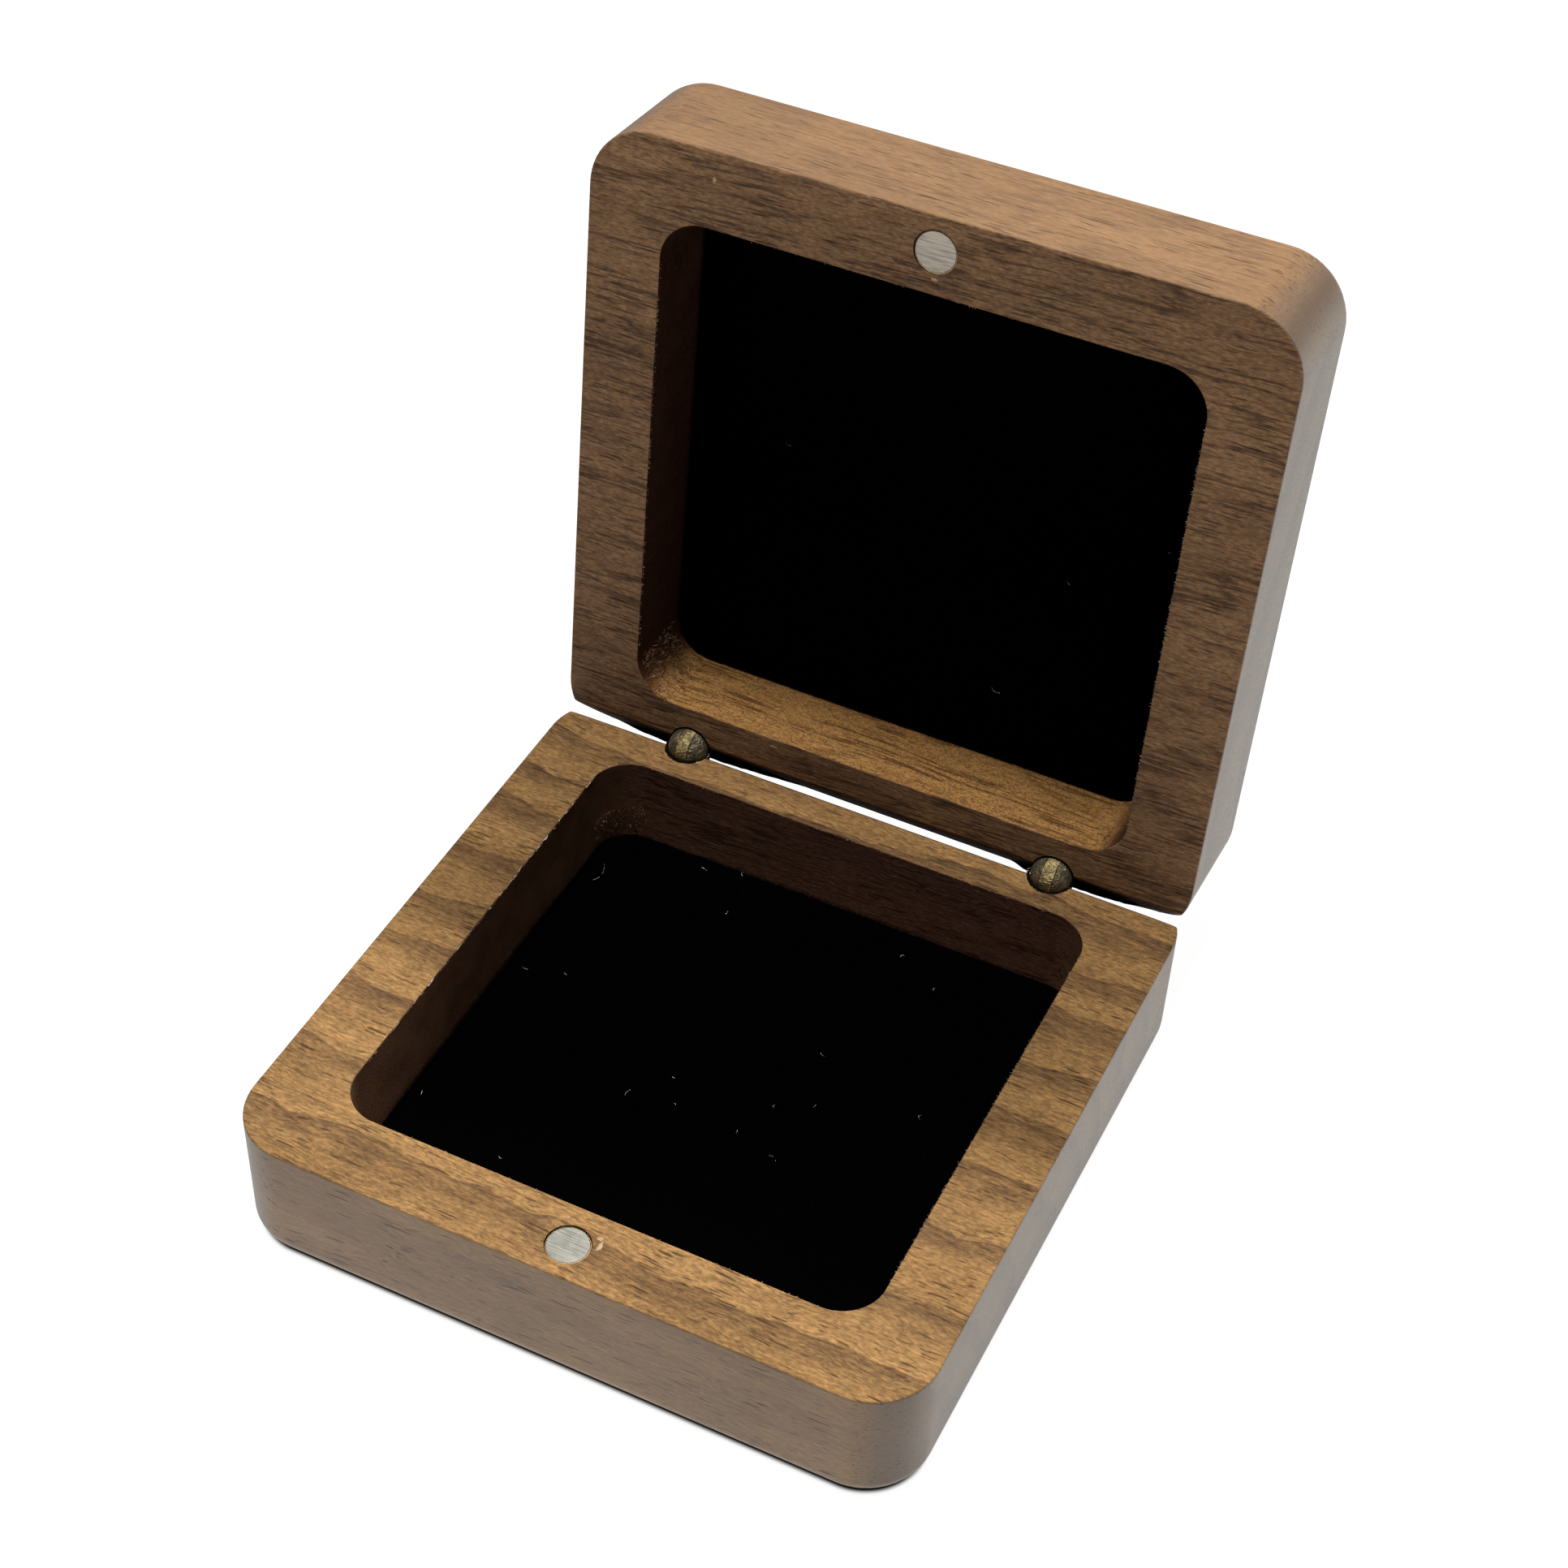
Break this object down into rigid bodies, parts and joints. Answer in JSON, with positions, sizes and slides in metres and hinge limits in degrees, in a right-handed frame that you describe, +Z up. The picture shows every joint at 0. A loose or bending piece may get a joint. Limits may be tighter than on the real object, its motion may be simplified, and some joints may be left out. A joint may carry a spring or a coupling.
{
  "type": "cufflink display box",
  "caption": "Square walnut cufflink box standing open, with velvet-lined pockets, small barrel hinges and a magnetic catch.",
  "frame": {"origin": "centre of the base's flat underside", "axes": "+Z up out of the base's pocket, +Y to the hinge side, +X to the right seen from the front"},
  "size_m": [0.08, 0.1007, 0.0926],
  "materials": {
    "walnut": "satin, oiled",
    "black_velvet": "matte pile",
    "nickel": "satin plating",
    "aged_brass": "aged, satin",
    "steel": "satin"
  },
  "bodies": {
    "base": {"base_shell": "walnut", "base_velvet": "black_velvet", "base_magnet": "nickel", "left_base_barrel": "aged_brass", "left_hinge_pin": "steel", "right_base_barrel": "aged_brass", "right_hinge_pin": "steel"},
    "lid": {"lid_shell": "walnut", "lid_velvet": "black_velvet", "lid_magnet": "nickel", "left_lid_barrel": "aged_brass", "right_lid_barrel": "aged_brass"}
  },
  "joints": [
    {"name": "lid_hinge", "type": "hinge", "parent": "base", "child": "lid", "pos_m": [0, 0.0365, 0.01655], "axis": [1, 0, 0], "range_deg": [0, 96]}
  ]
}
